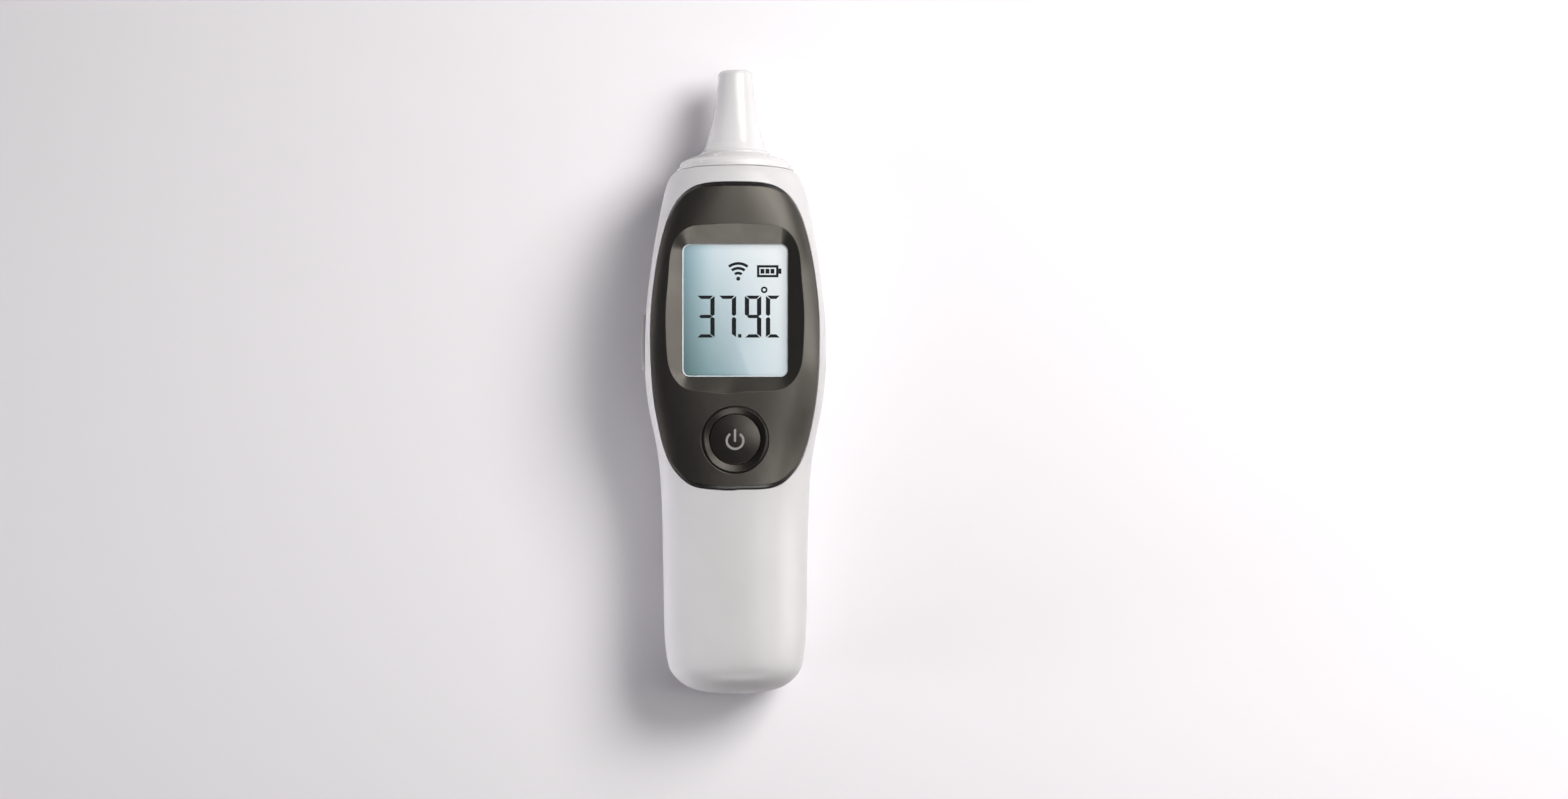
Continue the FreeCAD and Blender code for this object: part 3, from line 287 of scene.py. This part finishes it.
for n, o in nodes.items():
    mat = M[USE[n]]
    if not o.material_slots:
        o.data.materials.append(mat)
    for s in o.material_slots:
        s.link = "OBJECT"
        s.material = mat


# ---------------------------------------------------------------- mesh helpers
def S(py):
    return (694.0 - py) * 0.24 - 75.0


def X(px):
    return (px - 735.3) * 0.24


def mesh_object(name, verts, faces, mat, smooth=False):
    me = bpy.data.meshes.new(name)
    me.from_pydata([(x / 1000.0, y / 1000.0, z / 1000.0) for x, y, z in verts], [], faces)
    me.validate()
    me.update()
    o = bpy.data.objects.new(name, me)
    scene.collection.objects.link(o)
    me.materials.append(mat)
    for p in me.polygons:
        p.use_smooth = smooth
    return o


def slabs(name, polys, z0, z1, mat, bevel=0.03):
    """Thin flat plates from plan outlines (mm)."""
    bm = bmesh.new()
    for poly in polys:
        vs = [bm.verts.new((x / 1000.0, y / 1000.0, z0 / 1000.0)) for x, y in poly]
        area = sum(poly[i][0] * poly[(i + 1) % len(poly)][1] - poly[(i + 1) % len(poly)][0] * poly[i][1]
                   for i in range(len(poly)))
        if area < 0:
            vs.reverse()
        f = bm.faces.new(vs)
        r = bmesh.ops.extrude_face_region(bm, geom=[f])
        top = [g for g in r["geom"] if isinstance(g, bmesh.types.BMVert)]
        bmesh.ops.translate(bm, verts=top, vec=(0, 0, (z1 - z0) / 1000.0))
    bmesh.ops.recalc_face_normals(bm, faces=bm.faces)
    me = bpy.data.meshes.new(name)
    bm.to_mesh(me)
    bm.free()
    o = bpy.data.objects.new(name, me)
    scene.collection.objects.link(o)
    me.materials.append(mat)
    return o


def arc_band(cx, cy, r0, r1, a0, a1, n=20):
    out = [(cx + r1 * math.cos(math.radians(a0 + (a1 - a0) * i / n)), cy + r1 * math.sin(math.radians(a0 + (a1 - a0) * i / n)))
           for i in range(n + 1)]
    inn = [(cx + r0 * math.cos(math.radians(a1 - (a1 - a0) * i / n)), cy + r0 * math.sin(math.radians(a1 - (a1 - a0) * i / n)))
           for i in range(n + 1)]
    return out + inn


# ---------------------------------------------------------------- display figures
YT, YM, YB = 296.1, 316.9, 337.9
HW, VW = 3.3, 4.3


def px_poly(pts):
    return [(X(x), S(y)) for x, y in pts]


def seg_h(xl, xr, y, kind):
    if kind == "top":
        p = [(xl, y), (xr, y), (xr - HW, y + HW), (xl + HW, y + HW)]
    elif kind == "bot":
        p = [(xl + HW, y - HW), (xr - HW, y - HW), (xr, y), (xl, y)]
    else:
        h = HW / 2
        p = [(xl, y), (xl + h + 0.3, y - h), (xr - h - 0.3, y - h), (xr, y), (xr - h - 0.3, y + h), (xl + h + 0.3, y + h)]
    return px_poly(p)


def seg_v(x_out, y0, y1, side, upper):
    """Vertical bar: x_out is its outer edge, side +1 for a bar at a figure's right."""
    w = VW * side
    if upper:
        p = [(x_out, y0 + 0.5), (x_out, y1 - 1.9), (x_out - w * 0.55, y1 - 0.5), (x_out - w, y1 - 1.9), (x_out - w, y0 + 3.6)]
    else:
        p = [(x_out, y1 - 0.5), (x_out, y0 + 1.9), (x_out - w * 0.55, y0 + 0.5), (x_out - w, y0 + 1.9), (x_out - w, y1 - 3.6)]
    return px_poly(p)


figs = []
# three
figs += [seg_h(697.9, 713.6, YT, "top"), seg_h(699.5, 712.6, YM, "mid"), seg_h(697.9, 713.6, YB, "bot"),
         seg_v(715.0, YT, YM, 1, True), seg_v(715.0, YM, YB, 1, False)]
# seven
figs += [seg_h(719.7, 735.0, YT, "top"), seg_v(736.4, YT, YM, 1, True), seg_v(736.4, YM, YB, 1, False)]
figs += [px_poly([(738.3, 334.4), (741.7, 334.4), (741.7, 337.9), (738.3, 337.9)])]
# nine
figs += [seg_h(746.3, 760.1, YT, "top"), seg_h(747.2, 759.4, YM, "mid"), seg_h(745.5, 760.1, YB, "bot"),
         seg_v(745.0, YT, YM, -1, True), seg_v(761.4, YT, YM, 1, True), seg_v(761.4, YM, YB, 1, False)]
# letter for the scale
figs += [seg_h(767.3, 779.7, YT, "top"), seg_h(767.3, 779.7, YB, "bot"), seg_v(766.0, YT, YM, -1, True),
         seg_v(766.0, YM, YB, -1, False)]
cx, cy = X(764.3), S(290.4)
figs += [arc_band(cx, cy, 1.5 * 0.24, 3.3 * 0.24, a, a + 178, 16) for a in (0, 180)]
# battery symbol
b0, b1, c0, c1, t = 757.1, 778.5, 265.8, 277.9, 2.4
figs += [px_poly([(b0, c0), (b1, c0), (b1, c0 + t), (b0, c0 + t)]), px_poly([(b0, c1 - t), (b1, c1 - t), (b1, c1), (b0, c1)]),
         px_poly([(b0, c0 + t + .02), (b0 + t, c0 + t + .02), (b0 + t, c1 - t - .02), (b0, c1 - t - .02)]),
         px_poly([(b1 - t, c0 + t + .02), (b1, c0 + t + .02), (b1, c1 - t - .02), (b1 - t, c1 - t - .02)]),
         px_poly([(b1 + .02, 269.2), (b1 + 2.9, 269.2), (b1 + 2.9, 274.4), (b1 + .02, 274.4)])]
for x0 in (760.6, 765.6, 770.6):
    figs.append(px_poly([(x0, 269.5), (x0 + 3.9, 269.5), (x0 + 3.9, 274.2), (x0, 274.2)]))
# wireless symbol: a dot and arcs
wx, wy = X(738.5), S(279.3)
figs += [arc_band(wx, wy, 0.0001, 2.0 * 0.24, a, a + 178, 12) for a in (0, 180)]
for r in (5.6, 10.4, 15.2):
    figs.append(arc_band(wx, wy, (r - 1.35) * 0.24, (r + 1.35) * 0.24, 90 - 38, 90 + 38, 18))
ink = slabs("display_figures", figs, 26.205, 26.245, M["ink"])
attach(ink, "instrument")

# polished edge of the clear window, a narrow sloping band all round, coloured pale grey as a painted highlight where
# the clear edge catches light
def rounded(hx, y0, y1, r, n=8):
    out = []
    for cx_, cy_, a0 in ((hx - r, y1 - r, 0), (-hx + r, y1 - r, 90), (-hx + r, y0 + r, 180), (hx - r, y0 + r, 270)):
        for i in range(n + 1):
            a = math.radians(a0 + 90.0 * i / n)
            out.append((cx_ + r * math.cos(a), cy_ + r * math.sin(a)))
    return out


W0, W1 = 76.1 - 75.0, 107.8 - 75.0
loops = [(rounded(12.57, W0 + 0.03, W1 - 0.03, 1.77), 27.505), (rounded(12.57, W0 + 0.03, W1 - 0.03, 1.77), 27.70),
         (rounded(12.50, W0 + 0.10, W1 - 0.10, 1.70), 27.70), (rounded(12.32, W0 + 0.28, W1 - 0.28, 1.52), 27.505)]
vs, fs = [], []
for lp, z in loops:
    vs += [(x, y, z) for x, y in lp]
nl = len(loops[0][0])
for k in range(4):
    for i in range(nl):
        a, b = k * nl + i, k * nl + (i + 1) % nl
        c, d = ((k + 1) % 4) * nl + (i + 1) % nl, ((k + 1) % 4) * nl + i
        fs.append((a, b, c, d))
# painted highlight: the clear edge is drawn in pale opaque coated plastic
M["window_edge_highlight"] = plastic("window_edge_highlight", (0.62, 0.66, 0.68), (0.68, 0.71, 0.73), (0.12, 0.2), coat=0.5, coat_rough=0.05, edge=0.0)
edge = mesh_object("window_edge_highlight", vs, fs, M["window_edge_highlight"])
bm = bmesh.new()
bm.from_mesh(edge.data)
bmesh.ops.recalc_face_normals(bm, faces=bm.faces)
bm.to_mesh(edge.data)
bm.free()
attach(edge, "instrument")

# ---------------------------------------------------------------- stage
me = bpy.data.meshes.new("floor")
me.from_pydata([(-3, -3, 0), (3, -3, 0), (3, 3, 0), (-3, 3, 0)], [], [(0, 1, 2, 3)])
floor = bpy.data.objects.new("floor", me)
scene.collection.objects.link(floor)
fm, fnt, fb, _ = new_mat("floor_white")
fv = coord(fnt)
fn = noise(fnt, fv, 12, 3.0)
fnt.links.new(mix_col(fnt, fn, (0.85, 0.827, 0.851), (0.87, 0.847, 0.871)), fb.inputs["Base Color"])
fb.inputs["Roughness"].default_value = 0.9
fb.inputs["Specular IOR Level"].default_value = 0.1
me.materials.append(fm)

world = bpy.data.worlds.new("studio")
scene.world = world
world.use_nodes = True
wnt = world.node_tree
wnt.nodes.clear()
wo = wnt.nodes.new("ShaderNodeOutputWorld")
wb = wnt.nodes.new("ShaderNodeBackground")
wb.inputs[0].default_value = (0.93, 0.94, 1.0, 1)
wb.inputs[1].default_value = 0.09
wnt.links.new(wb.outputs[0], wo.inputs[0])


def area(name, loc, target, size, power, color=(1, 1, 1), sy=None):
    l = bpy.data.lights.new(name, "AREA")
    l.shape = "RECTANGLE"
    l.size = size
    l.size_y = sy or size
    l.energy = power
    l.color = color
    o = bpy.data.objects.new(name, l)
    o.location = loc
    d = Vector(target) - Vector(loc)
    o.rotation_euler = d.to_track_quat("-Z", "Y").to_euler()
    scene.collection.objects.link(o)
    return o


def shiny(name, loc, target, size, radiance, sy=None, color=(1.0, 0.99, 0.97)):
    """Reflector card seen only as a soft reflection."""
    o = area(name, loc, target, size, radiance * math.pi * size * (sy or size), color, sy)
    o.visible_diffuse = False
    o.visible_transmission = False
    return o


area("key", (0.375, 0.27, 0.475), (0, 0.01, 0.01), 0.34, 4.8, (1.0, 0.99, 0.975)).visible_glossy = False
area("strip_right", (0.384, -0.05, 0.462), (0, 0, 0.02), 0.12, 0.42, (1.0, 0.99, 0.975), 0.60)
area("top", (0.30, 0.06, 1.3), (0, 0, 0), 0.5, 1.75, (1.0, 1.0, 1.0)).visible_glossy = False
card = area("card_left", (-0.62, -0.13, 0.06), (0, -0.055, 0.03), 0.25, 0.19, (0.975, 0.975, 1.0), 0.12)
card.visible_glossy = False
card.data.spread = math.radians(36.0)
shiny("card_key", (0.35, 0.33, 0.48), (0, 0.02, 0.02), 0.40, 4.1)
shiny("card_streak", (0.52, -0.26, 1.12), (0, 0, 0.02), 0.15, 5.8, 0.55)
shiny("card_over", (0.20, -0.06, 1.30), (0, 0, 0.02), 0.35, 1.3)
shiny("card_top", (0.16, 0.44, 1.05), (0, 0, 0.02), 0.45, 3.2, 0.40)
shiny("card_front", (0.12, -0.88, 0.38), (0, 0, 0.02), 0.55, 5.2, 0.28)
shiny("card_side", (0.90, -0.05, 0.28), (0, 0, 0.02), 0.30, 3.6, 0.9)

cam_d = bpy.data.cameras.new("camera")
cam = bpy.data.objects.new("camera", cam_d)
scene.collection.objects.link(cam)
CAM_H = 2.5
REF_Z = 0.014
WIDTH = 1568 * 0.24 / 1000.0
cam_d.sensor_width = 36.0
cam_d.sensor_fit = "HORIZONTAL"
cam_d.lens = 36.0 * (CAM_H - REF_Z) / WIDTH
cam_d.clip_end = 20
cam.location = ((784.0 - 735.3) * 0.24 / 1000.0, ((694.0 - 399.5) * 0.24 - 75.0) / 1000.0, CAM_H)
cam.rotation_euler = (0, 0, 0)
scene.camera = cam
scene.view_settings.view_transform = "Standard"
